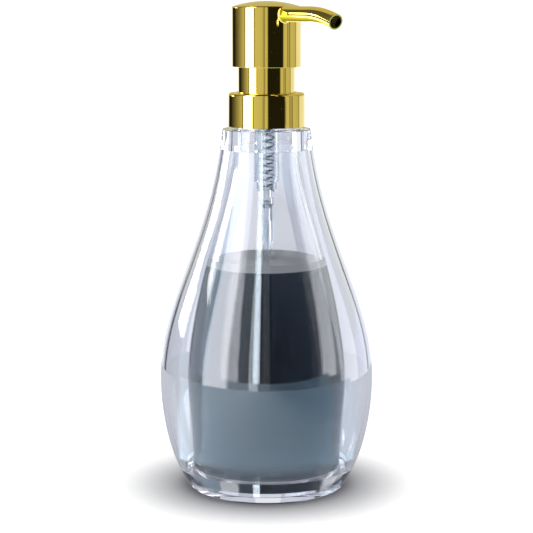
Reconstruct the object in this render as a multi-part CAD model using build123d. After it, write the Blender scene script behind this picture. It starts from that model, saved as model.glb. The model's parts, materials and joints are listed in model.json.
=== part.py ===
from build123d import *

import math
import os

# Soap pump dispenser: a clear double-walled bottle with a gold press pump.
# Millimetres. +Z is up, the origin is the centre of the foot on the bottle's axis, and the
# spout points along +X. Each function makes one separate piece at its rest place.

# ---- Bottle -------------------------------------------------------------------------------
FOOT_R = 30.8             # radius of the face the bottle stands on
FOOT_EDGE_R = 31.4
FOOT_EDGE_H = 0.5
FOOT_TOP_R = 32.95
FOOT_TOP = 2.95           # seam between the base and the walls above it
SHELL_BOTTOM = 3.0
BAND_BOTTOM = 137.0       # top of the outer shell, where the solid neck ring starts
BOTTLE_TOP = 145.0        # bottle's shoulder, just below the collar
SHELL_WALL = 2.2          # thickness of the outer shell, square to its surface
SHELL_LEDGE = 9.2         # the shell is solid out from its bore up to here
SHELL_BORE_R = 30.1       # opening in the bottom of the shell, round the reservoir
GLUE_GAP = 0.05
SHOULDER_EDGE = 0.5

# Outside of the bottle as (radius, height), from the seam above the foot to the shoulder.
OUTSIDE = [
    (33.1, 3.0),
    (38.8, 16.0),
    (42.1, 32.0),
    (42.65, 50.0),
    (38.8, 70.0),
    (31.9, 90.0),
    (24.9, 110.0),
    (19.8, 130.0),
    (17.6, 145.0),
]

# Outside of the inner reservoir, from its bottom corner to its neck.
RESERVOIR = [
    (29.8, 3.0),
    (29.95, 10.0),
    (30.6, 25.0),
    (31.9, 45.0),
    (30.3, 62.0),
    (24.1, 91.0),
    (16.4, 118.0),
    (13.7, 131.0),
    (13.4, 136.95),
]
RESERVOIR_WALL = 2.0
RESERVOIR_CORNER = 0.3
INSET_POINTS = 11         # points that carry an inner wall, a wall's thickness inside

# ---- Fits and edges -----------------------------------------------------------------------
OVERCUT = 1.0             # a cut runs this far past the face that it opens
PRESS_FIT = 0.01
SNUG_FIT = 0.02
STACK_GAP = 0.05          # between thin walls that lie one on the other
SMALL_EDGE = 0.3
FINE_EDGE = 0.15

# ---- Neck finish and collar ---------------------------------------------------------------
NECK_BORE_R = 11.2
NECK_ROOT_R = 12.5
NECK_TOP = 153.6
THREAD_R = 13.4
THREAD_PITCH = 4.2
THREAD_TURNS = 1.35
THREAD_START = 146.5
THREAD_HALF_ROOT = 1.1    # half width of the thread at its root
THREAD_HALF_CREST = 0.4
THREAD_SINK = 0.6         # how deep the thread starts inside the neck wall
COLLAR_BOTTOM = 145.9
COLLAR_TOP = 159.2
COLLAR_BOTTOM_R = 15.3
COLLAR_TOP_R = 15.2
COLLAR_WALL = 0.5
COLLAR_EDGE = 1.1
COLLAR_HOLE_R = 11.55
COLLAR_HOLE_EDGE = 0.2
LINER_R = 14.65
LINER_BOTTOM = 146.6
LINER_BORE_R = 13.75      # plain bore that clears the neck thread
LINER_ROOF = 157.6
LINER_HOLE_R = 11.65
LINER_EDGE = 0.7

# ---- Pump body ----------------------------------------------------------------------------
GASKET_BOTTOM = 153.65
GASKET_TOP = 154.6
GASKET_HOLE_R = 8.5
FLANGE_R = 12.9
FLANGE_TOP = 155.8
HOUSING_R = 5.0
HOUSING_BORE_R = 4.0
HOUSING_BOTTOM = 123.8
HOUSING_FLOOR = 124.6
HOUSING_BLEND = 1.5
VENT_R = 0.6
VENT_Z = 151.6
CUP_R = 4.0               # cup below the cylinder that holds the end of the spring
CUP_BORE_R = 3.5
CUP_BOTTOM = 119.8
CUP_FLOOR = 120.4
TAIL_R = 2.85             # tail that holds the valve ball and the dip tube
TAIL_BOTTOM = 99.0
TAIL_STEP = 1.0           # the tail's last bit is eased by this much
TAIL_EASE = 0.3
LIP_R = 1.4
LIP_BOTTOM = 117.4
CHAMBER_R = 2.0
SEAT_TOP = 114.6
SEAT_R = 1.0
SEAT_LOW = 113.0
BALL_R = 1.6
BALL_Z = 114.47
DIP_R = 1.5
DIP_BORE_R = 1.0
DIP_TOP = 108.0
DIP_BOTTOM = 6.4
GUIDE_FLANGE_R = 12.8
GUIDE_FLANGE_TOP = 156.7
GUIDE_PLUG_BOTTOM = 153.4
GUIDE_BORE_R = 2.66
GUIDE_BOSS_R = 5.2
GUIDE_BOSS_TOP = 167.5
GUIDE_TUBE_R = 10.63      # tube that backs the gold sleeve
GUIDE_TUBE_BORE_R = 9.75
GUIDE_TUBE_TOP = 174.9
SLEEVE_R = 11.25
SLEEVE_BORE_R = 10.65
SLEEVE_TOP = 175.5
SLEEVE_FLANGE_TOP = 157.3
SLEEVE_FLANGE_R = 12.6
SLEEVE_EDGE = 0.4

# ---- Spring -------------------------------------------------------------------------------
WIRE_R = 0.4
SPRING_R = 3.05           # from the axis to the middle of the wire
SPRING_BOTTOM = 120.45
SPRING_TOP = 145.15
SPRING_TURNS = 8.25

# ---- Plunger ------------------------------------------------------------------------------
SEAT_TIP_R = 2.0
SEAT_TIP_TOP = 143.8
SEAT_NOSE_R = 2.5
SEAT_NOSE_BOTTOM = 143.0
SEAT_FLANGE_R = 3.6
SEAT_FLANGE_BOTTOM = 145.2
SEAT_FLANGE_TOP = 146.4
SEAT_ROD_TOP = 160.0
FLUTE_R = 0.55
FLUTES = 4
PISTON_R = 3.96
PISTON_BOTTOM = 146.45
PISTON_TOP = 151.3
PISTON_GROOVE = 0.6
PISTON_LIP = 0.6          # height of each sloped or sealing part of a lip
PISTON_TAPER = 0.2
STEM_R = 2.6
STEM_BORE_R = 1.65
STEM_FOOT_R = 3.4
STEM_FOOT_TOP = 152.9
STEM_BOTTOM = 151.35
STEM_TOP = 187.4

# ---- Head and spout -----------------------------------------------------------------------
HEAD_R = 13.7
HEAD_BOTTOM = 169.3
HEAD_RIM = 192.8
HEAD_TOP = 195.0
HEAD_WALL = 0.6
HEAD_EDGE = 0.7
CORE_R = 13.05
CORE_SKIRT_BORE_R = 11.85
CORE_BOTTOM = 179.5
CORE_ROOF = 186.6
CORE_TOP = 191.6
CORE_BOSS_R = 4.4
CORE_BOSS_BOTTOM = 178.2
CORE_SOCKET_R = 2.62
SPOUT_R = 3.0
SPOUT_BORE_R = 2.5
SPOUT_Z = 190.05         # its top comes level with the head's rim
SPOUT_START = 10.6        # inner end of the spout, inside the head
SPOUT_BEND_START = 31.0
SPOUT_BEND_R = 57.3
SPOUT_BEND_DEG = 17.5
SPOUT_FIT = 0.03          # clearance of the spout in the head
SPOUT_BLEND = 0.6
ROOT_ROOM = 8.0           # room round the spout's root in which its blend is made
NOZZLE_R = 2.47
NOZZLE_BORE_R = 1.5
NOZZLE_START = 5.6
NOZZLE_BEND_DEG = 13.2    # the liner stops short of the spout's mouth


def turned(points):
    """Revolve a closed straight-sided (radius, height) outline about Z."""
    return revolve(make_face(Polyline(*[(r, 0, z) for r, z in points], close=True)), Axis.Z)


def disc(radius, low, high):
    """A cylinder about Z between two heights."""
    return turned([(0, low), (radius, low), (radius, high), (0, high)])


def ring(outer, inner, low, high):
    """A tube about Z between two heights."""
    return turned([(inner, low), (outer, low), (outer, high), (inner, high)])


def rod_x(radius, start, end, height):
    """A cylinder along X at one height."""
    face = Plane(origin=(start, 0, height), z_dir=(1, 0, 0)) * Circle(radius)
    return extrude(face, end - start)


def curve_through(points):
    """A smooth curve in the XZ plane through (radius, height) points."""
    return Spline(*[(r, 0, z) for r, z in points])


def inset_curve(curve, wall):
    """A curve a wall's thickness inside another one that runs upward."""
    points = []
    for i in range(INSET_POINTS):
        share = i / (INSET_POINTS - 1)
        place = curve.position_at(share)
        along = curve.tangent_at(share)
        points.append((place.X - wall * along.Z, place.Z + wall * along.X))
    return curve_through(points)


def turned_curve(curve):
    """Revolve the area between Z and a curve that runs upward."""
    start = curve.position_at(0)
    end = curve.position_at(1)
    bottom = Line((0, 0, start.Z), start)
    top = Line(end, (0, 0, end.Z))
    axis = Line((0, 0, end.Z), (0, 0, start.Z))
    return revolve(make_face([bottom, curve, top, axis]), Axis.Z)


def edges_at(solid, radius, height, tolerance=0.02):
    """Round edges of a solid that lie at one radius and height."""
    found = []
    for edge in solid.edges().filter_by(GeomType.CIRCLE):
        middle = edge.position_at(0.5)
        if abs(math.hypot(middle.X, middle.Y) - radius) < tolerance:
            if abs(middle.Z - height) < tolerance:
                found.append(edge)
    return found


# ---- Bottle pieces ------------------------------------------------------------------------
def make_outer_shell():
    """Clear outside wall, thick round its foot and open at the bottom for the reservoir."""
    outside = curve_through(OUTSIDE)
    wall = turned_curve(outside) & disc(2 * FOOT_R, SHELL_BOTTOM, BAND_BOTTOM)
    space = turned_curve(inset_curve(outside, SHELL_WALL))
    space = space & disc(2 * FOOT_R, SHELL_LEDGE, BOTTLE_TOP)
    mouth = disc(SHELL_BORE_R, SHELL_BOTTOM - OVERCUT, SHELL_LEDGE + OVERCUT)
    return wall - space - mouth


def make_inner_reservoir():
    """Clear cup that holds the soap, with an air gap between it and the outer shell."""
    outside = curve_through(RESERVOIR)
    cup = turned_curve(outside)
    cup = fillet(edges_at(cup, *RESERVOIR[0]), RESERVOIR_CORNER)
    low, high = RESERVOIR[0][1], RESERVOIR[-1][1]
    hollow = turned_curve(inset_curve(outside, RESERVOIR_WALL))
    hollow = hollow & disc(2 * FOOT_R, low + RESERVOIR_WALL, high + OVERCUT)
    throat = disc(NECK_BORE_R, high - RESERVOIR_WALL, high + OVERCUT)
    return cup - hollow - throat


def make_neck_ring():
    """Solid clear ring on top of the bottle, with the threaded finish above it."""
    shoulder = turned_curve(curve_through(OUTSIDE))
    shoulder = shoulder & disc(2 * FOOT_R, BAND_BOTTOM + GLUE_GAP, BOTTLE_TOP)
    shoulder = fillet(edges_at(shoulder, OUTSIDE[-1][0], BOTTLE_TOP), SHOULDER_EDGE)
    finish = disc(NECK_ROOT_R, BOTTLE_TOP - OVERCUT, NECK_TOP)
    finish = fillet(edges_at(finish, NECK_ROOT_R, NECK_TOP), SMALL_EDGE)
    bore = disc(NECK_BORE_R, BAND_BOTTOM - OVERCUT, NECK_TOP + OVERCUT)
    return shoulder + finish + neck_thread() - bore


def neck_thread():
    """One start of a rounded-off screw thread, sunk a little into the neck."""
    root = NECK_ROOT_R - THREAD_SINK
    turn = Helix(THREAD_PITCH, THREAD_PITCH * THREAD_TURNS, root)
    half_root, half_crest = THREAD_HALF_ROOT, THREAD_HALF_CREST
    section = Polyline(
        (root, 0, -half_root),
        (THREAD_R, 0, -half_crest),
        (THREAD_R, 0, half_crest),
        (root, 0, half_root),
        close=True,
    )
    thread = sweep(make_face(section), path=turn, is_frenet=True)
    return Pos(0, 0, THREAD_START) * thread


def make_base_plug():
    """Clear disc bonded under both walls, with the foot that the bottle stands on."""
    return turned([
        (0, 0),
        (FOOT_R, 0),
        (FOOT_EDGE_R, FOOT_EDGE_H),
        (FOOT_TOP_R, FOOT_TOP),
        (0, FOOT_TOP),
    ])


# ---- Pump body pieces ---------------------------------------------------------------------
def make_neck_gasket():
    """Flat soft ring that seals the pump's flange on the neck."""
    return ring(FLANGE_R, GASKET_HOLE_R, GASKET_BOTTOM, GASKET_TOP)


def make_pump_housing():
    """Translucent cylinder with its flange, spring cup, valve chamber and tail."""
    outside = turned([
        (0, TAIL_BOTTOM),
        (TAIL_R - TAIL_EASE, TAIL_BOTTOM),
        (TAIL_R - TAIL_EASE, TAIL_BOTTOM + TAIL_STEP),
        (TAIL_R, TAIL_BOTTOM + TAIL_STEP),
        (TAIL_R, CUP_BOTTOM),
        (CUP_R, CUP_BOTTOM),
        (CUP_R, HOUSING_BOTTOM),
        (HOUSING_R, HOUSING_BOTTOM),
        (HOUSING_R, GASKET_TOP),
        (FLANGE_R, GASKET_TOP),
        (FLANGE_R, FLANGE_TOP),
        (0, FLANGE_TOP),
    ])
    outside = fillet(edges_at(outside, HOUSING_R, GASKET_TOP), HOUSING_BLEND)
    inside = turned([
        (0, TAIL_BOTTOM - OVERCUT),
        (DIP_R + PRESS_FIT, TAIL_BOTTOM - OVERCUT),
        (DIP_R + PRESS_FIT, DIP_TOP + PRESS_FIT),
        (SEAT_R, DIP_TOP + PRESS_FIT),
        (SEAT_R, SEAT_LOW),
        (CHAMBER_R, SEAT_TOP),
        (CHAMBER_R, LIP_BOTTOM),
        (LIP_R, LIP_BOTTOM),
        (LIP_R, CUP_FLOOR),
        (CUP_BORE_R, CUP_FLOOR),
        (CUP_BORE_R, HOUSING_FLOOR),
        (HOUSING_BORE_R, HOUSING_FLOOR),
        (HOUSING_BORE_R, FLANGE_TOP + OVERCUT),
        (0, FLANGE_TOP + OVERCUT),
    ])
    vent = Pos(0, 0, VENT_Z) * extrude(Plane.XZ * Circle(VENT_R), 2 * HOUSING_R)
    return outside - inside - vent


def make_dip_tube():
    """Thin tube from the housing's tail to just above the reservoir's floor, cut aslant."""
    tube = ring(DIP_R, DIP_BORE_R, DIP_BOTTOM, DIP_TOP)
    slant = Plane(origin=(0, 0, DIP_BOTTOM + DIP_R), z_dir=(1, 0, 1))
    cutter = extrude(slant * Rectangle(8 * DIP_R, 8 * DIP_R), -8 * DIP_R)
    return tube - cutter


def make_stem_guide():
    """Plastic guide that closes the housing, steers the stem and backs the gold sleeve."""
    flange = disc(GUIDE_FLANGE_R, FLANGE_TOP, GUIDE_FLANGE_TOP)
    plug = disc(HOUSING_BORE_R - PRESS_FIT, GUIDE_PLUG_BOTTOM, FLANGE_TOP)
    boss = disc(GUIDE_BOSS_R, GUIDE_FLANGE_TOP, GUIDE_BOSS_TOP)
    tube = ring(GUIDE_TUBE_R, GUIDE_TUBE_BORE_R, GUIDE_FLANGE_TOP, GUIDE_TUBE_TOP)
    bore = disc(GUIDE_BORE_R, GUIDE_PLUG_BOTTOM - OVERCUT, GUIDE_BOSS_TOP + OVERCUT)
    return flange + plug + boss + tube - bore


def make_guide_sleeve():
    """Gold sleeve between the collar and the head, with its top edge turned in."""
    sleeve = turned([
        (SLEEVE_BORE_R, GUIDE_FLANGE_TOP),
        (SLEEVE_FLANGE_R, GUIDE_FLANGE_TOP),
        (SLEEVE_FLANGE_R, SLEEVE_FLANGE_TOP),
        (SLEEVE_R, SLEEVE_FLANGE_TOP),
        (SLEEVE_R, SLEEVE_TOP),
        (GUIDE_TUBE_BORE_R, SLEEVE_TOP),
        (GUIDE_TUBE_BORE_R, GUIDE_TUBE_TOP + STACK_GAP),
        (SLEEVE_BORE_R, GUIDE_TUBE_TOP + STACK_GAP),
    ])
    return fillet(edges_at(sleeve, SLEEVE_R, SLEEVE_TOP), SLEEVE_EDGE)


def make_spring():
    """Steel compression spring under the plunger."""
    height = SPRING_TOP - SPRING_BOTTOM - 2 * WIRE_R
    coil = Helix(height / SPRING_TURNS, height, SPRING_R)
    wire = Plane(origin=coil.position_at(0), z_dir=coil.tangent_at(0)) * Circle(WIRE_R)
    return Pos(0, 0, SPRING_BOTTOM + WIRE_R) * sweep(wire, path=coil, is_frenet=True)


def make_inlet_ball():
    """Glass ball that closes the bottom of the pump chamber."""
    return Pos(0, 0, BALL_Z) * Sphere(BALL_R)


# ---- Collar pieces ------------------------------------------------------------------------
def make_collar_shell():
    """Gold cover of the screw collar."""
    cover = turned([
        (COLLAR_BOTTOM_R - COLLAR_WALL, COLLAR_BOTTOM),
        (COLLAR_BOTTOM_R, COLLAR_BOTTOM),
        (COLLAR_TOP_R, COLLAR_TOP),
        (COLLAR_HOLE_R, COLLAR_TOP),
        (COLLAR_HOLE_R, COLLAR_TOP - COLLAR_WALL),
        (COLLAR_TOP_R - COLLAR_WALL, COLLAR_TOP - COLLAR_WALL),
    ])
    cover = fillet(edges_at(cover, COLLAR_TOP_R, COLLAR_TOP), COLLAR_EDGE)
    inner = edges_at(cover, COLLAR_TOP_R - COLLAR_WALL, COLLAR_TOP - COLLAR_WALL)
    cover = fillet(inner, COLLAR_EDGE - COLLAR_WALL)
    return fillet(edges_at(cover, COLLAR_HOLE_R, COLLAR_TOP), COLLAR_HOLE_EDGE)


def make_collar_liner():
    """Plastic cap inside the gold cover that clamps the pump on the neck."""
    top = COLLAR_TOP - COLLAR_WALL - STACK_GAP
    liner = turned([
        (LINER_BORE_R, LINER_BOTTOM),
        (LINER_R, LINER_BOTTOM),
        (LINER_R, top),
        (LINER_HOLE_R, top),
        (LINER_HOLE_R, LINER_ROOF),
        (LINER_BORE_R, LINER_ROOF),
    ])
    return fillet(edges_at(liner, LINER_R, top), LINER_EDGE)


# ---- Plunger pieces -----------------------------------------------------------------------
def make_piston_seat():
    """Fluted rod in the stem's foot; the spring pushes up on its flange."""
    seat = turned([
        (0, SEAT_NOSE_BOTTOM),
        (SEAT_TIP_R, SEAT_NOSE_BOTTOM),
        (SEAT_NOSE_R, SEAT_TIP_TOP),
        (SEAT_NOSE_R, SEAT_FLANGE_BOTTOM),
        (SEAT_FLANGE_R, SEAT_FLANGE_BOTTOM),
        (SEAT_FLANGE_R, SEAT_FLANGE_TOP),
        (STEM_BORE_R - SNUG_FIT, SEAT_FLANGE_TOP),
        (STEM_BORE_R - SNUG_FIT, SEAT_ROD_TOP),
        (0, SEAT_ROD_TOP),
    ])
    flute = disc(FLUTE_R, SEAT_FLANGE_TOP, SEAT_ROD_TOP + OVERCUT)
    for spot in PolarLocations(STEM_BORE_R, FLUTES):
        seat = seat - spot * flute
    return seat


def make_piston():
    """Soft piston with a groove between its two sealing lips."""
    piston = turned([
        (STEM_BORE_R, PISTON_BOTTOM),
        (PISTON_R - PISTON_TAPER, PISTON_BOTTOM),
        (PISTON_R, PISTON_BOTTOM + PISTON_LIP),
        (PISTON_R, PISTON_BOTTOM + 2 * PISTON_LIP),
        (PISTON_R - PISTON_GROOVE, PISTON_BOTTOM + 3 * PISTON_LIP),
        (PISTON_R - PISTON_GROOVE, PISTON_TOP - 3 * PISTON_LIP),
        (PISTON_R, PISTON_TOP - 2 * PISTON_LIP),
        (PISTON_R, PISTON_TOP - PISTON_LIP),
        (PISTON_R - PISTON_TAPER, PISTON_TOP),
        (STEM_BORE_R, PISTON_TOP),
    ])
    return piston


def make_stem():
    """Hollow rod that carries the head and leads the soap up to it."""
    return turned([
        (STEM_BORE_R, STEM_BOTTOM),
        (STEM_FOOT_R, STEM_BOTTOM),
        (STEM_FOOT_R, STEM_FOOT_TOP),
        (STEM_R, STEM_FOOT_TOP),
        (STEM_R, STEM_TOP),
        (STEM_BORE_R, STEM_TOP),
    ])


# ---- Head pieces --------------------------------------------------------------------------
def spout_path(start, bend_deg):
    """Centre line of the spout: straight out of the head, then bending down."""
    straight = Line((start, 0, SPOUT_Z), (SPOUT_BEND_START, 0, SPOUT_Z))
    centre = (SPOUT_BEND_START, 0, SPOUT_Z - SPOUT_BEND_R)
    plane = Plane(origin=centre, x_dir=(1, 0, 0), z_dir=(0, -1, 0))
    bend = plane * CenterArc((0, 0), SPOUT_BEND_R, 90, -bend_deg)
    return Wire([straight, bend])


def spout_solid(radius, start, bend_deg):
    """A round bar along the spout's centre line."""
    section = Plane(origin=(start, 0, SPOUT_Z), z_dir=(1, 0, 0)) * Circle(radius)
    return sweep(section, path=spout_path(start, bend_deg))


def head_body(wall):
    """The head's turned shape, made smaller all round by a wall's thickness."""
    radius = HEAD_R - wall
    rim = HEAD_RIM - wall
    top = HEAD_TOP - wall
    side = Polyline((0, 0, HEAD_BOTTOM), (radius, 0, HEAD_BOTTOM), (radius, 0, rim))
    dome = ThreePointArc((radius, 0, rim), dome_middle(radius, rim, top), (0, 0, top))
    axis = Line((0, 0, top), (0, 0, HEAD_BOTTOM))
    return revolve(make_face([side, dome, axis]), Axis.Z)


def dome_middle(radius, rim, top):
    """A point half way out on the shallow ball-shaped top."""
    rise = top - rim
    ball = (radius * radius + rise * rise) / (2 * rise)
    half = radius / 2
    return (half, 0, top - ball + math.sqrt(ball * ball - half * half))


def make_head_shell():
    """Gold cover of the head, with a shallow domed top and a hole for the spout."""
    outside = head_body(0)
    outside = fillet(edges_at(outside, HEAD_R, HEAD_RIM), HEAD_EDGE)
    outside = fillet(edges_at(outside, HEAD_R, HEAD_BOTTOM), FINE_EDGE)
    inside = head_body(HEAD_WALL)
    hole = rod_x(SPOUT_R + SPOUT_FIT, SPOUT_START - OVERCUT, HEAD_R + OVERCUT, SPOUT_Z)
    return outside - inside - hole


def make_head_core():
    """Plastic body inside the gold cover, with the channel from the stem to the spout."""
    body = disc(CORE_R, CORE_BOTTOM, CORE_TOP)
    body = body - disc(CORE_SKIRT_BORE_R, CORE_BOTTOM - OVERCUT, CORE_ROOF)
    body = body + disc(CORE_BOSS_R, CORE_BOSS_BOTTOM, CORE_ROOF)
    body = body - disc(CORE_SOCKET_R, CORE_BOSS_BOTTOM - OVERCUT, STEM_TOP + SNUG_FIT)
    body = body - disc(NOZZLE_BORE_R, STEM_TOP, SPOUT_Z)
    body = body - rod_x(NOZZLE_BORE_R, 0, NOZZLE_START, SPOUT_Z)
    body = body - rod_x(NOZZLE_R + SPOUT_FIT, NOZZLE_START, SPOUT_START, SPOUT_Z)
    return body - rod_x(SPOUT_R + SPOUT_FIT, SPOUT_START, HEAD_R, SPOUT_Z)


def make_spout_tube():
    """Bent gold tube with a small blend where it meets the head, cut square at its mouth."""
    bar = spout_solid(SPOUT_R, SPOUT_START, SPOUT_BEND_DEG)
    return bar + spout_root() - spout_solid(SPOUT_BORE_R, SPOUT_START, SPOUT_BEND_DEG)


def spout_root():
    """The small rounded fillet round the spout's root, fitting the head's round side."""
    column = disc(HEAD_R, SPOUT_Z - 2 * ROOT_ROOM, SPOUT_Z + 2 * ROOT_ROOM)
    joined = column + rod_x(SPOUT_R, 0, HEAD_R + ROOT_ROOM, SPOUT_Z)
    corner = []
    for edge in joined.edges():
        place = edge.position_at(0.5)
        if place.X > HEAD_R / 2 and abs(place.Z - SPOUT_Z) < SPOUT_R + OVERCUT:
            if abs(math.hypot(place.X, place.Y) - HEAD_R) < STACK_GAP:
                corner.append(edge)
    joined = fillet(corner, SPOUT_BLEND)
    blend = joined - disc(HEAD_R, SPOUT_Z - 3 * ROOT_ROOM, SPOUT_Z + 3 * ROOT_ROOM)
    room = disc(HEAD_R + ROOT_ROOM / 2, SPOUT_Z - ROOT_ROOM, HEAD_RIM - 2 * STACK_GAP)
    return blend & room


def make_spout_liner():
    """Thin plastic tube inside the spout that keeps the soap off the metal."""
    bar = spout_solid(NOZZLE_R, NOZZLE_START, NOZZLE_BEND_DEG)
    return bar - spout_solid(NOZZLE_BORE_R, NOZZLE_START, NOZZLE_BEND_DEG)


PIECES = {
    "outer_shell": make_outer_shell,
    "inner_reservoir": make_inner_reservoir,
    "neck_ring": make_neck_ring,
    "base_plug": make_base_plug,
    "neck_gasket": make_neck_gasket,
    "pump_housing": make_pump_housing,
    "dip_tube": make_dip_tube,
    "stem_guide": make_stem_guide,
    "guide_sleeve": make_guide_sleeve,
    "spring": make_spring,
    "inlet_ball": make_inlet_ball,
    "collar_shell": make_collar_shell,
    "collar_liner": make_collar_liner,
    "piston_seat": make_piston_seat,
    "piston": make_piston,
    "stem": make_stem,
    "head_shell": make_head_shell,
    "head_core": make_head_core,
    "spout_tube": make_spout_tube,
    "spout_liner": make_spout_liner,
}

os.makedirs("parts", exist_ok=True)
for name, make in PIECES.items():
    export_step(make(), "parts/" + name + ".step")
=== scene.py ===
import json
import math

import bmesh
import bpy
import numpy as np
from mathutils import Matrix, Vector


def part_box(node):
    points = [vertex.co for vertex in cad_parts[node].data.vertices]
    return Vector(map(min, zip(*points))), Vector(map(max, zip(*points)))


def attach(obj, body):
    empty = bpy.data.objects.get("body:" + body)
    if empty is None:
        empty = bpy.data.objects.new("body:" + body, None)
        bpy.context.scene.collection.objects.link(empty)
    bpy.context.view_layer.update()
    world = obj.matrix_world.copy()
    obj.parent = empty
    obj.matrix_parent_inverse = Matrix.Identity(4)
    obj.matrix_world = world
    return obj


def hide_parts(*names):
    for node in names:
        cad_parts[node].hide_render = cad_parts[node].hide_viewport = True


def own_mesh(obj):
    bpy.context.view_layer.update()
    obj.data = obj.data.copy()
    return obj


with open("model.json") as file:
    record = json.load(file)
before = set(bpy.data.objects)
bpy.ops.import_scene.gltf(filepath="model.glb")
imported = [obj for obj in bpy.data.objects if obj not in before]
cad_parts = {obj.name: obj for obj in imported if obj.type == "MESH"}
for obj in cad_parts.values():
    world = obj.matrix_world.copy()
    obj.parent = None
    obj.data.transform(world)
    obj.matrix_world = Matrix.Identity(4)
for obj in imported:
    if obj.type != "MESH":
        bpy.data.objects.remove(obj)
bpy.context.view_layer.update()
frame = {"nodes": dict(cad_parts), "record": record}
NODES = frame["nodes"]
MM = 0.001

# ---- Camera and studio, in millimetres and degrees ----------------------------------------
CAMERA_AZIMUTH = 58.0        # the camera stands this far round from -Y towards +X
CAMERA_DISTANCE = 673.0
CAMERA_HEIGHT = 197.0
CAMERA_PITCH = 9.082         # looking down
CAMERA_LENS = 114.44
TABLE_RADIUS = 340.0         # the part of the table that gloss and glass see
TABLE_SHIFT = 65.0           # its centre lies this far towards the camera
FLOOR_SIZE = 6000.0
FLOOR_SIDES = 96
FLOOR_GAP = 0.05             # the floor lies this far below the foot, so the foot mirrors inside
PAINTED_SHADOW_REACH = 30.0         # the floor gets a painted contact shadow this near to the foot
PAINTED_SHADOW_FULL = 0.35          # openness where the painted shadow is at its darkest
PAINTED_SHADOW_NONE = 0.97          # openness where no painted shadow is laid


# ---- Small helpers ------------------------------------------------------------------------
ON_AXIS = 1e-7               # metres
SHARP_ANGLE = 30.0           # an edge that turns more than this is shown as an edge


def new_mesh(name, build):
    """An object whose mesh the build function makes in a bmesh."""
    mesh = bpy.data.meshes.new(name)
    shape = bmesh.new()
    build(shape)
    bmesh.ops.recalc_face_normals(shape, faces=shape.faces)
    shape.to_mesh(mesh)
    shape.free()
    for face in mesh.polygons:
        face.use_smooth = True
    thing = bpy.data.objects.new(name, mesh)
    bpy.context.scene.collection.objects.link(thing)
    return thing


def add_ring(shape, radius, height, steps):
    """New vertices on a circle about Z, or one vertex where the circle has no size."""
    if radius < ON_AXIS:
        return [shape.verts.new((0, 0, height))]
    turns = [2 * math.pi * i / steps for i in range(steps)]
    return [shape.verts.new((radius * math.cos(a), radius * math.sin(a), height)) for a in turns]


def lathe(name, outline, steps):
    """A solid turned about Z from a closed (radius, height) outline in metres."""
    def build(shape):
        rings = [add_ring(shape, radius, height, steps) for radius, height in outline]
        for k, low in enumerate(rings):
            high = rings[(k + 1) % len(rings)]
            if len(low) == 1 and len(high) == 1:
                continue
            for i in range(steps):
                j = (i + 1) % steps
                if len(low) == 1:
                    shape.faces.new((low[0], high[j], high[i]))
                elif len(high) == 1:
                    shape.faces.new((low[i], low[j], high[0]))
                else:
                    shape.faces.new((low[i], low[j], high[j], high[i]))
    thing = new_mesh(name, build)
    thing.data.set_sharp_from_angle(angle=math.radians(SHARP_ANGLE))
    return thing


def tube_along(name, points, radius, sides):
    """A round wire along a list of points, with closed ends."""
    path = [Vector(p) for p in points]

    def build(shape):
        rings = []
        for i, here in enumerate(path):
            ahead = path[min(i + 1, len(path) - 1)] - path[max(i - 1, 0)]
            across = ahead.normalized().cross(Vector((0, 0, 1))).normalized()
            up = across.cross(ahead.normalized())
            ring = []
            for k in range(sides):
                a = 2 * math.pi * k / sides
                ring.append(shape.verts.new(here + radius * (math.cos(a) * across + math.sin(a) * up)))
            rings.append(ring)
        for low, high in zip(rings, rings[1:]):
            for k in range(sides):
                n = (k + 1) % sides
                shape.faces.new((low[k], low[n], high[n], high[k]))
        shape.faces.new(rings[0])
        shape.faces.new(rings[-1])
    return new_mesh(name, build)


FLAT_FACE = 1e-4             # a face that leans less than this is a floor, not a wall


def wall_points(node, side):
    """(heights, radii) of a turned CAD node's walls: side 1 faces out, side -1 faces its axis."""
    mesh = NODES[node].data
    found = {}
    for face in mesh.polygons:
        middle = Vector((face.center.x, face.center.y, 0))
        if side * face.normal.dot(middle) <= FLAT_FACE * middle.length:
            continue
        for i in face.vertices:
            point = mesh.vertices[i].co
            found[round(point.z, 6)] = math.hypot(point.x, point.y)
    heights = sorted(found)
    return np.array(heights), np.array([found[z] for z in heights])


WALL_ROWS = 170
WALL_STEPS = 224
WALL_SPACING = 1.5 * MM      # the smooth curve goes through CAD points about this far apart


def smooth_wall(heights, radii):
    """(radius, height) places on the smooth curve through a wall's points, from low to high."""
    kept = [0]
    for k in range(1, len(heights) - 1):
        nearest = min(heights[k] - heights[kept[-1]], heights[-1] - heights[k])
        if nearest > WALL_SPACING:
            kept.append(k)
    kept.append(len(heights) - 1)
    heights, radii = heights[kept], radii[kept]
    slopes = np.gradient(radii, heights)
    places = []
    for z in np.linspace(heights[0], heights[-1], WALL_ROWS):
        k = min(int(np.searchsorted(heights, z, side="right")) - 1, len(heights) - 2)
        step = heights[k + 1] - heights[k]
        t = (z - heights[k]) / step
        radius = (2 * t**3 - 3 * t**2 + 1) * radii[k] + (t**3 - 2 * t**2 + t) * step * slopes[k]
        radius += (3 * t**2 - 2 * t**3) * radii[k + 1] + (t**3 - t**2) * step * slopes[k + 1]
        places.append((float(radius), float(z)))
    return places


# ---- Materials ----------------------------------------------------------------------------
def new_material(name):
    """A material, its node tree and its Principled shader."""
    material = bpy.data.materials.new(name)
    material.use_nodes = True
    return material, material.node_tree, material.node_tree.nodes["Principled BSDF"]


def add_node(tree, kind, **inputs):
    """A node with some of its sockets set by name."""
    node = tree.nodes.new(kind)
    for name, value in inputs.items():
        node.inputs[name.replace("_", " ")].default_value = value
    return node


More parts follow.
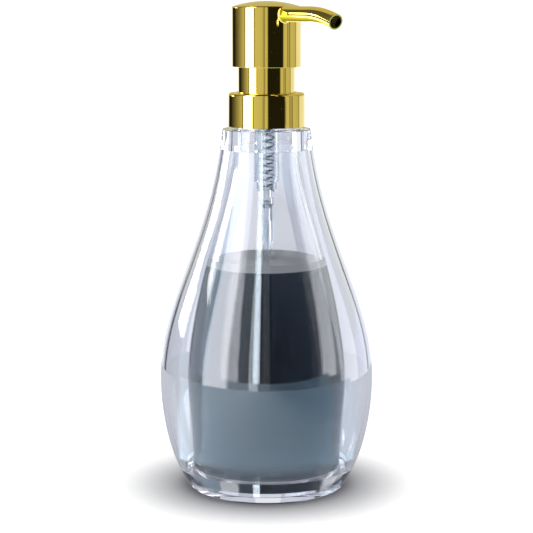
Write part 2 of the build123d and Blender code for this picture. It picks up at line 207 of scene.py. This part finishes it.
def two_tone(tree, value, low, high, start=0.0, end=1.0):
    """A colour that runs from low to high while a value runs from start to end."""
    ramp = tree.nodes.new("ShaderNodeValToRGB")
    for stop, place, colour in zip(ramp.color_ramp.elements, (start, end), (low, high)):
        stop.position = place
        stop.color = (*colour, 1)
    tree.links.new(value, ramp.inputs["Fac"])
    return ramp.outputs["Color"]


def colour_mix(tree, share, low, high):
    """low where a share is 0 and high where it is 1; each is a colour or a node's output."""
    mix = tree.nodes.new("ShaderNodeMix")
    mix.data_type = "RGBA"
    tree.links.new(share, mix.inputs["Factor"])
    for socket, light in (("A", low), ("B", high)):
        if isinstance(light, tuple):
            mix.inputs[socket].default_value = (*light, 1)
        else:
            tree.links.new(light, mix.inputs[socket])
    return mix.outputs["Result"]


def calculate(tree, operation, *values):
    """A sum whose values are numbers or node outputs."""
    node = tree.nodes.new("ShaderNodeMath")
    node.operation = operation
    for socket, value in zip(node.inputs, values):
        if isinstance(value, float):
            socket.default_value = value
        else:
            tree.links.new(value, socket)
    return node.outputs["Value"]


def noise_range(tree, scale, low, high, detail=3.0, stretch=None):
    """A noise over the object's own coordinates, turned into a range of values."""
    place = tree.nodes.new("ShaderNodeTexCoord")
    noise = add_node(tree, "ShaderNodeTexNoise", Scale=scale, Detail=detail)
    if stretch:
        mapping = add_node(tree, "ShaderNodeMapping", Scale=stretch)
        tree.links.new(place.outputs["Object"], mapping.inputs["Vector"])
        tree.links.new(mapping.outputs["Vector"], noise.inputs["Vector"])
    else:
        tree.links.new(place.outputs["Object"], noise.inputs["Vector"])
    span = add_node(tree, "ShaderNodeMapRange")
    span.inputs["From Min"].default_value = 0.3
    span.inputs["From Max"].default_value = 0.7
    span.inputs["To Min"].default_value = low
    span.inputs["To Max"].default_value = high
    tree.links.new(noise.outputs["Fac"], span.inputs["Value"])
    return noise, span


def add_bump(tree, shader, noise, strength, distance):
    """A shallow relief from a noise."""
    bump = add_node(tree, "ShaderNodeBump", Strength=strength, Distance=distance)
    tree.links.new(noise.outputs["Fac"], bump.inputs["Height"])
    tree.links.new(bump.outputs["Normal"], shader.inputs["Normal"])


def clear_acrylic():
    """Polished clear acrylic with the faintest mould ripple."""
    material, tree, shader = new_material("clear_acrylic")
    shader.inputs["Base Color"].default_value = (0.975, 0.982, 0.995, 1)
    shader.inputs["Transmission Weight"].default_value = 1.0
    shader.inputs["IOR"].default_value = 1.49
    _, rough = noise_range(tree, 35.0, 0.0, 0.012)
    tree.links.new(rough.outputs["Result"], shader.inputs["Roughness"])
    return material


def soap_liquid():
    """Dark blue-grey liquid soap that soaks up the light that goes through it."""
    material, tree, shader = new_material("soap_liquid")
    shader.inputs["Base Color"].default_value = (1, 1, 1, 1)
    shader.inputs["Transmission Weight"].default_value = 1.0
    shader.inputs["IOR"].default_value = 1.36
    shader.inputs["Roughness"].default_value = 0.0
    soak = tree.nodes.new("ShaderNodeVolumeAbsorption")
    soak.inputs["Color"].default_value = (0.42, 0.47, 0.52, 1)
    soak.inputs["Density"].default_value = 110.0
    tree.links.new(soak.outputs["Volume"], tree.nodes["Material Output"].inputs["Volume"])
    return material


def soap_surface():
    """Pearly skin on top of the soap, which scatters light both ways and shines a little."""
    material, tree, shader = new_material("soap_surface")
    tree.nodes.remove(shader)
    noise, _ = noise_range(tree, 70.0, 0.0, 1.0, stretch=(1.0, 4.0, 1.0))
    colour = two_tone(tree, noise.outputs["Fac"], (0.92, 0.93, 0.95), (0.97, 0.97, 0.98))
    kinds = ("ShaderNodeBsdfDiffuse", "ShaderNodeBsdfTranslucent")
    above, below = [tree.nodes.new(kind) for kind in kinds]
    shine = add_node(tree, "ShaderNodeBsdfGlossy", Roughness=0.08)
    both = add_node(tree, "ShaderNodeMixShader", Fac=0.1)
    skin = add_node(tree, "ShaderNodeMixShader", Fac=0.06)
    for part in (above, below):
        tree.links.new(colour, part.inputs["Color"])
    tree.links.new(above.outputs[0], both.inputs[1])
    tree.links.new(below.outputs[0], both.inputs[2])
    tree.links.new(both.outputs[0], skin.inputs[1])
    tree.links.new(shine.outputs[0], skin.inputs[2])
    tree.links.new(skin.outputs[0], tree.nodes["Material Output"].inputs["Surface"])
    return material


GOLD_DEEP = (0.80, 0.605, 0.115)
GOLD_LIGHT = (0.85, 0.65, 0.135)


def polished_gold():
    """Mirror-polished gold with hair-fine wipe marks in its gloss."""
    material, tree, shader = new_material("polished_gold")
    shader.inputs["Metallic"].default_value = 1.0
    _, rough = noise_range(tree, 900.0, 0.025, 0.06, detail=4.0, stretch=(1.0, 1.0, 0.08))
    tree.links.new(rough.outputs["Result"], shader.inputs["Roughness"])
    place = tree.nodes.new("ShaderNodeTexCoord")
    cloud = add_node(tree, "ShaderNodeTexNoise", Scale=60.0, Detail=2.0)
    tree.links.new(place.outputs["Object"], cloud.inputs["Vector"])
    colour = two_tone(tree, cloud.outputs["Fac"], GOLD_DEEP, GOLD_LIGHT, 0.3, 0.7)
    tree.links.new(colour, shader.inputs["Base Color"])
    return material


def moulded_plastic(name, low, high, roughness, clear, grain):
    """Moulded plastic whose colour and gloss drift a little, see-through if asked."""
    material, tree, shader = new_material(name)
    shader.inputs["Transmission Weight"].default_value = clear
    shader.inputs["IOR"].default_value = 1.5
    noise, rough = noise_range(tree, 250.0, roughness * 0.8, roughness * 1.25)
    tree.links.new(rough.outputs["Result"], shader.inputs["Roughness"])
    tree.links.new(two_tone(tree, noise.outputs["Fac"], low, high), shader.inputs["Base Color"])
    add_bump(tree, shader, noise, grain, 0.0002)
    return material


def spring_steel():
    """Drawn steel wire with fine lines along its gloss."""
    material, tree, shader = new_material("spring_steel")
    shader.inputs["Metallic"].default_value = 1.0
    shader.inputs["Base Color"].default_value = (0.60, 0.63, 0.65, 1)
    noise, rough = noise_range(tree, 1500.0, 0.16, 0.34, detail=4.0)
    tree.links.new(rough.outputs["Result"], shader.inputs["Roughness"])
    add_bump(tree, shader, noise, 0.1, 0.00005)
    return material


def dress(thing, material):
    """Give an object one material."""
    thing.data.materials.clear()
    thing.data.materials.append(material)


# ---- Pieces made here ---------------------------------------------------------------------
CORNER_RADIUS = 0.3 * MM
CORNER_STEPS = 12
LIQUID_LEVEL = 89.3 * MM
LIQUID_OVERLAP = 0.03 * MM   # the liquid reaches this far into the wall, so no air shows
MENISCUS_RISE = 3.6 * MM
MENISCUS_WIDTH = 4.0 * MM
MENISCUS_CURL = 4.5          # how much steeper it is at the wall
MENISCUS_ROWS = 16
LIQUID_ROWS = 60
LIQUID_STEPS = 160
TOP_FACE = 0.1               # a liquid face whose normal rises more than this is its surface


def make_outer_wall():
    """The outer shell with perfectly smooth walls; its bore and ledge are the CAD's."""
    outside = smooth_wall(*wall_points("outer_shell", 1))
    heights, radii = wall_points("outer_shell", -1)
    inside = smooth_wall(heights[1:], radii[1:])
    bore = float(radii[0])
    outline = [(bore, outside[0][1])] + outside + inside[::-1] + [(bore, inside[0][1])]
    return lathe("outer_wall", outline, WALL_STEPS)


def make_inner_wall():
    """The reservoir with perfectly smooth walls, and its small bottom corner."""
    heights, radii = wall_points("inner_reservoir", 1)
    corner = np.searchsorted(heights, heights[0] + CORNER_RADIUS)
    outside = smooth_wall(heights[corner:], radii[corner:])
    picked = range(0, corner, max(1, corner // CORNER_STEPS))
    bend = [(float(radii[k]), float(heights[k])) for k in picked]
    inside = smooth_wall(*wall_points("inner_reservoir", -1))
    outline = [(0.0, bend[0][1])] + bend + outside + inside[::-1] + [(0.0, inside[0][1])]
    return lathe("inner_wall", outline, WALL_STEPS)


def make_liquid():
    """Liquid soap that fills the reservoir up to its level, curling up at the wall."""
    heights, radii = wall_points("inner_reservoir", -1)
    floor = heights[0]
    top = LIQUID_LEVEL + MENISCUS_RISE
    wall = [floor + (top - floor) * i / LIQUID_ROWS for i in range(LIQUID_ROWS + 1)]
    outline = [(0.0, floor - LIQUID_OVERLAP)]
    outline += [(float(np.interp(z, heights, radii)) + LIQUID_OVERLAP, z) for z in wall]
    outline[1] = (outline[1][0], floor - LIQUID_OVERLAP)
    edge = outline[-1][0]
    flat = math.exp(-MENISCUS_CURL)
    for i in range(1, MENISCUS_ROWS + 1):
        out = i / MENISCUS_ROWS
        rise = MENISCUS_RISE * (math.exp(-MENISCUS_CURL * out) - flat) / (1 - flat)
        outline.append((edge - MENISCUS_WIDTH * out, LIQUID_LEVEL + rise))
    outline.append((0.0, LIQUID_LEVEL))
    return lathe("soap_liquid", outline, LIQUID_STEPS)


WIRE_RADIUS = 0.4 * MM
WIRE_SIDES = 16
END_COILS = 0.6              # closed coils at each end of the spring
END_PITCH = 2.15 * WIRE_RADIUS
WORKING_COILS = 7.8
COIL_STEPS = 40
PITCH_CHANGE = 0.5           # the pitch opens out over this share of a turn


def make_spring():
    """Compression spring with closed ends, where the CAD has one even helix."""
    low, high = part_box("spring")
    radius = (high.x - low.x) / 2 - WIRE_RADIUS
    bottom = low.z + WIRE_RADIUS
    length = high.z - low.z - 2 * WIRE_RADIUS
    coils = WORKING_COILS + 2 * END_COILS
    pitch = (length - 2 * END_COILS * END_PITCH) / WORKING_COILS
    points = []
    height = 0.0
    steps = int(coils * COIL_STEPS)
    for i in range(steps + 1):
        turn = coils * i / steps
        points.append((
            radius * math.cos(2 * math.pi * turn),
            radius * math.sin(2 * math.pi * turn),
            bottom + height,
        ))
        into = min(turn, coils - turn) - END_COILS
        share = min(1.0, max(0.0, into / PITCH_CHANGE + 0.5))
        height += (END_PITCH + (pitch - END_PITCH) * share) * coils / steps
    return tube_along("spring_coil", points, WIRE_RADIUS, WIRE_SIDES)


# ---- Studio -------------------------------------------------------------------------------
def make_camera():
    """The camera at the viewing place."""
    camera = bpy.data.cameras.new("camera")
    camera.sensor_width = 36.0
    camera.lens = CAMERA_LENS
    thing = bpy.data.objects.new("camera", camera)
    turn = math.radians(CAMERA_AZIMUTH)
    reach = CAMERA_DISTANCE * MM
    thing.location = (reach * math.sin(turn), -reach * math.cos(turn), CAMERA_HEIGHT * MM)
    thing.rotation_euler = (math.radians(90 - CAMERA_PITCH), 0, turn)
    bpy.context.scene.collection.objects.link(thing)
    bpy.context.scene.camera = thing


FLOOR_WHITE = (1.2, 1.2, 1.2)
# Painted shadow: the floor's colour where it meets the foot
FLOOR_PAINTED_SHADOW = (0.34, 0.34, 0.37)
# Painted shade and tint: a darker, bluish floor colour that only glass and gloss see
FLOOR_PAINTED_FOR_GLASS = (0.50, 0.52, 0.58)


def floor_material():
    """Plain pale floor with a painted contact shadow close to the foot, and a darker, cooler painted
    copy of itself where glass and gloss pick it up.
    """
    material, tree, shader = new_material("floor")
    shader.inputs["Roughness"].default_value = 0.9
    shader.inputs["Specular IOR Level"].default_value = 0.0
    # Painted contact shadow: ambient occlusion darkens the floor's own colour close to the foot
    corner = add_node(tree, "ShaderNodeAmbientOcclusion", Distance=PAINTED_SHADOW_REACH * MM)
    corner.samples = 16
    open_share = corner.outputs["AO"]
    shade = two_tone(tree, open_share, FLOOR_PAINTED_SHADOW, FLOOR_WHITE, PAINTED_SHADOW_FULL, PAINTED_SHADOW_NONE)
    # The camera sees the floor's own colour; glass and gloss see the painted darker, bluish copy
    path = tree.nodes.new("ShaderNodeLightPath")
    colour = colour_mix(tree, path.outputs["Is Camera Ray"], FLOOR_PAINTED_FOR_GLASS, shade)
    tree.links.new(colour, shader.inputs["Base Color"])
    return material


def make_floor():
    """A near disc of table that everything sees, and a far floor that gloss and glass do not."""
    turn = math.radians(CAMERA_AZIMUTH)
    shift = TABLE_SHIFT * MM
    centre = (shift * math.sin(turn), -shift * math.cos(turn), -FLOOR_GAP * MM)
    material = floor_material()

    def near(shape):
        radius = TABLE_RADIUS * MM
        bmesh.ops.create_circle(shape, cap_ends=True, segments=FLOOR_SIDES, radius=radius)

    def far(shape):
        inner = add_ring(shape, TABLE_RADIUS * MM, 0, FLOOR_SIDES)
        outer = add_ring(shape, FLOOR_SIZE * MM, 0, FLOOR_SIDES)
        for i in range(FLOOR_SIDES):
            j = (i + 1) % FLOOR_SIDES
            shape.faces.new((inner[i], inner[j], outer[j], outer[i]))

    for name, build in (("table_near", near), ("floor_far", far)):
        thing = new_mesh(name, build)
        thing.location = centre
        dress(thing, material)
        if name == "floor_far":
            thing.visible_glossy = False
            thing.visible_transmission = False


# Brightness of the studio round the object, as (degrees from the camera, light), where minus
# is to the camera's left and 180 is behind the object. What the gold sees runs smoothly from
# one stop to the next. What the glass sees holds up to the next stop.
WHITE = (0.86, 0.87, 0.92)
LAVENDER = (0.62, 0.64, 0.73)
BLACK = (0.02, 0.02, 0.02)
PALE_BACK = (1.0, 1.06, 1.5)
PALE_EDGE = (1.1, 1.12, 1.25)
GOLDEN_BACK = (0.64, 0.60, 0.33)
STRIP = (7.5, 7.5, 8.0)
DARK_CEILING = (0.03, 0.035, 0.04)
LOW_GLOSS = (2.5, 2.7, 4.0)      # what lies past the table's edge, seen from high up
LOWEST_GLOSS = (0.80, 0.80, 0.22)
LOW_GLASS = (0.02, 0.02, 0.025)
GLOSS_STRIPES = [
    (-98, 0.34),
    (-79, 0.68),
    (-76.5, 0.22),
    (-73, 0.30),
    (-72, STRIP),
    (-44, STRIP),
    (-43, 0.16),
    (-40, 0.16),
    (-38.5, 0.76),
    (-15, 0.70),
    (-9, 0.42),
    (-6.5, 0.22),
    (-4, 0.74),
    (2.5, 0.68),
    (5.5, 0.016),
    (56, 0.016),
    (59.5, 0.72),
    (72, 0.70),
    (74.5, 0.14),
    (77.5, 0.66),
    (80, 0.5),
    (83, 0.14),
    (86.5, 0.70),
    (110, 0.62),
    (113, 0.15),
]
GLOSS_RING = [(-180, PALE_EDGE), (-153, PALE_EDGE), (-151, 0.016), (-130, 0.016), (-110, 0.17)]
GLOSS_RING += GLOSS_STRIPES + [(116.5, PALE_BACK), (160, PALE_EDGE)]
GLOSS_HIGH_RING = [(-180, GOLDEN_BACK), (-136, GOLDEN_BACK), (-134, 0.12), (-112, 0.12)]
GLOSS_HIGH_RING += GLOSS_STRIPES + [(119, GOLDEN_BACK)]
GLASS_RING = [
    (-180, WHITE),
    (-173, LAVENDER),
    (-152, BLACK),
    (-147, LAVENDER),
    (-114, (1.2, 1.5, 1.8)),
    (-72, (3.3, 3.3, 3.5)),
    (-43, (0.20, 0.24, 0.28)),
    (-20, (5.5, 6.3, 6.8)),
    (-10, BLACK),
    (70, (0.15, 0.15, 0.15)),
    (89, (3.0, 3.0, 3.1)),
    (120, (0.9, 0.95, 1.0)),
    (147, BLACK),
    (152, LAVENDER),
    (173, WHITE),
]


def ring_light(tree, share, ring, blend):
    """A colour that depends on the direction round the object."""
    ramp = tree.nodes.new("ShaderNodeValToRGB")
    ramp.color_ramp.interpolation = blend
    stops = ramp.color_ramp.elements
    stops.remove(stops[1])
    for number, (angle, light) in enumerate(ring):
        stop = stops.new((angle + 180.0) / 360.0) if number else stops[0]
        stop.color = (*light, 1) if isinstance(light, tuple) else (light, light, light, 1)
    tree.links.new(share, ramp.inputs["Fac"])
    return ramp.outputs["Color"]


def glow_material(name):
    """A material that only glows, with its node tree and the colour socket of its light."""
    material, tree, shader = new_material(name)
    tree.nodes.remove(shader)
    glow = tree.nodes.new("ShaderNodeEmission")
    tree.links.new(glow.outputs["Emission"], tree.nodes["Material Output"].inputs["Surface"])
    return material, tree, glow.inputs["Color"]


def studio_card(thing):
    """Only gloss and glass see this piece of the studio."""
    thing.visible_camera = False
    thing.visible_diffuse = False
    thing.visible_shadow = False


SOFTBOX_REACH = 3.0          # metres from the object
SOFTBOX_STEPS = 24


def make_softbox(name, sides, heights, light):
    """A big card on a ball round the object, between two angles round it and two heights."""
    def build(shape):
        rows = []
        for lift in np.radians(np.linspace(*heights, SOFTBOX_STEPS + 1)):
            row = []
            for turn in np.radians(CAMERA_AZIMUTH + np.linspace(*sides, SOFTBOX_STEPS + 1)):
                row.append(shape.verts.new((
                    SOFTBOX_REACH * math.cos(lift) * math.sin(turn),
                    -SOFTBOX_REACH * math.cos(lift) * math.cos(turn),
                    SOFTBOX_REACH * math.sin(lift),
                )))
            rows.append(row)
        for low, high in zip(rows, rows[1:]):
            for k in range(SOFTBOX_STEPS):
                shape.faces.new((low[k], low[k + 1], high[k + 1], high[k]))
    material, _, colour = glow_material(name)
    colour.default_value = (*light, 1)
    card = new_mesh(name, build)
    dress(card, material)
    studio_card(card)


CARD_INNER = 50.0            # the front card, in millimetres and degrees
CARD_OUTER = 400.0
CARD_HEIGHT = 0.5
CARD_SPREAD = 200.0
CARD_STEPS = 60
CARD_FADE = 120.0            # its light changes between this far left and this far right
CARD_LEFT = (1.25, 1.55, 1.80)
CARD_RIGHT = (0.45, 0.66, 0.84)


def front_card_light():
    """The front card's glow, which fades from the camera's left to its right."""
    material, tree, colour = glow_material("front_card")
    place = tree.nodes.new("ShaderNodeTexCoord")
    turn = add_node(tree, "ShaderNodeMapping", Rotation=(0, 0, -math.radians(CAMERA_AZIMUTH)))
    split = tree.nodes.new("ShaderNodeSeparateXYZ")
    fade = add_node(tree, "ShaderNodeMapRange")
    fade.inputs["From Min"].default_value = -CARD_FADE * MM
    fade.inputs["From Max"].default_value = CARD_FADE * MM
    tree.links.new(place.outputs["Object"], turn.inputs["Vector"])
    tree.links.new(turn.outputs["Vector"], split.inputs["Vector"])
    tree.links.new(split.outputs["X"], fade.inputs["Value"])
    tree.links.new(two_tone(tree, fade.outputs["Result"], CARD_LEFT, CARD_RIGHT), colour)
    return material


def make_front_card():
    """A bright bluish sheet on the table between the object and the camera."""
    def build(shape):
        rows = []
        for i in range(CARD_STEPS + 1):
            turn = math.radians(CAMERA_AZIMUTH + CARD_SPREAD * (i / CARD_STEPS - 0.5))
            ends = [(radius * MM * math.sin(turn), -radius * MM * math.cos(turn), CARD_HEIGHT * MM)
                    for radius in (CARD_INNER, CARD_OUTER)]
            rows.append([shape.verts.new(end) for end in ends])
        for here, there in zip(rows, rows[1:]):
            shape.faces.new((here[0], there[0], there[1], here[1]))
    card = new_mesh("front_card", build)
    dress(card, front_card_light())
    studio_card(card)


# Heights on the studio's ball, as sines of the angle above the level.
HORIZON = 0.02
CEILING = 0.80
PAST_TABLE = -0.20
FAR_BELOW = -0.42
GLASS_BELOW = -0.34
HEIGHT_BLEND = 0.02
SOFT_LIGHT = (1.12, 1.12, 1.12)


def change_above(tree, height, limit, below, above):
    """One light below a height on the studio's ball, and another one above it."""
    share = add_node(tree, "ShaderNodeMapRange")
    share.inputs["From Min"].default_value = limit
    share.inputs["From Max"].default_value = limit + HEIGHT_BLEND
    tree.links.new(height, share.inputs["Value"])
    return colour_mix(tree, share.outputs["Result"], below, above)


def share_of_turn(tree, split):
    """How far round the object a direction is, from 0 to 1, with the camera at one half."""
    away = calculate(tree, "MULTIPLY", split.outputs["Y"], -1.0)
    angle = calculate(tree, "ARCTAN2", split.outputs["X"], away)
    start = 0.5 - CAMERA_AZIMUTH / 360.0
    return calculate(tree, "FRACT", calculate(tree, "MULTIPLY_ADD", angle, 1 / (2 * math.pi), start))


def make_world():
    """White for the camera and for soft light; strips and dark cards for gloss and glass."""
    world = bpy.data.worlds.new("studio")
    bpy.context.scene.world = world
    world.use_nodes = True
    world.cycles.sampling_method = "NONE"
    tree = world.node_tree
    place = tree.nodes.new("ShaderNodeTexCoord")
    split = tree.nodes.new("ShaderNodeSeparateXYZ")
    tree.links.new(place.outputs["Generated"], split.inputs["Vector"])
    around = share_of_turn(tree, split)
    height = split.outputs["Z"]
    gloss = ring_light(tree, around, GLOSS_RING, "LINEAR")
    gloss_high = ring_light(tree, around, GLOSS_HIGH_RING, "LINEAR")
    gloss = change_above(tree, height, HORIZON, gloss, gloss_high)
    gloss = change_above(tree, height, CEILING, gloss, DARK_CEILING)
    gloss = change_above(tree, height, PAST_TABLE, LOW_GLOSS, gloss)
    gloss = change_above(tree, height, FAR_BELOW, LOWEST_GLOSS, gloss)
    glass = ring_light(tree, around, GLASS_RING, "CONSTANT")
    glass = change_above(tree, height, CEILING, glass, DARK_CEILING)
    glass = change_above(tree, height, GLASS_BELOW, LOW_GLASS, glass)
    path = tree.nodes.new("ShaderNodeLightPath")
    matte = calculate(tree, "MINIMUM", path.outputs["Diffuse Depth"], 1.0)
    light = colour_mix(tree, path.outputs["Is Glossy Ray"], SOFT_LIGHT, gloss)
    light = colour_mix(tree, path.outputs["Is Transmission Ray"], light, glass)
    light = colour_mix(tree, matte, light, SOFT_LIGHT)
    tree.links.new(light, tree.nodes["Background"].inputs["Color"])


def set_light_paths():
    """Enough bounces for light to cross both clear walls and the liquid."""
    scene = bpy.context.scene
    scene.cycles.max_bounces = 24
    scene.cycles.transmission_bounces = 24
    scene.cycles.glossy_bounces = 12
    scene.cycles.transparent_max_bounces = 16
    scene.view_settings.view_transform = "Standard"


# ---- Putting it together ------------------------------------------------------------------
make_camera()
make_floor()
make_world()
make_front_card()
make_softbox("left_softbox", sides=(-128, -112), heights=(4.3, 13.5), light=(8.0, 8.0, 8.0))
set_light_paths()

FINISHES = {
    "clear_acrylic": clear_acrylic(),
    "polished_gold": polished_gold(),
    "spring_steel": spring_steel(),
}
MOULDED = [  # name, darker colour, lighter colour, roughness, how clear, grain
    ("natural_plastic", (0.86, 0.89, 0.92), (0.93, 0.95, 0.97), 0.06, 1.0, 0.02),
    ("white_plastic", (0.80, 0.80, 0.79), (0.88, 0.88, 0.87), 0.35, 0.0, 0.02),
    ("piston_plastic", (0.70, 0.73, 0.76), (0.78, 0.80, 0.83), 0.4, 0.0, 0.02),
    ("dark_plastic", (0.012, 0.012, 0.012), (0.02, 0.02, 0.02), 0.45, 0.0, 0.02),
    ("gasket_foam", (0.62, 0.62, 0.62), (0.74, 0.74, 0.74), 0.7, 0.0, 0.3),
    ("ball_glass", (0.85, 0.90, 0.90), (0.90, 0.94, 0.94), 0.02, 1.0, 0.02),
]
for name, *look in MOULDED:
    FINISHES[name] = moulded_plastic(name, *look)
for entry in frame["record"]["subparts"]:
    dress(NODES[entry["node"]], FINISHES[entry["material_slot"]])

for make, node in ((make_outer_wall, "outer_shell"), (make_inner_wall, "inner_reservoir")):
    wall = make()
    dress(wall, FINISHES["clear_acrylic"])
    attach(wall, "bottle")
    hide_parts(node)

liquid = make_liquid()
dress(liquid, soap_liquid())
liquid.data.materials.append(soap_surface())
for face in liquid.data.polygons:
    if face.normal.z > TOP_FACE and face.center.z > LIQUID_LEVEL - LIQUID_OVERLAP:
        face.material_index = 1
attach(liquid, "bottle")

spring = make_spring()
dress(spring, FINISHES["spring_steel"])
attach(spring, "pump")
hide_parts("spring")
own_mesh(spring)
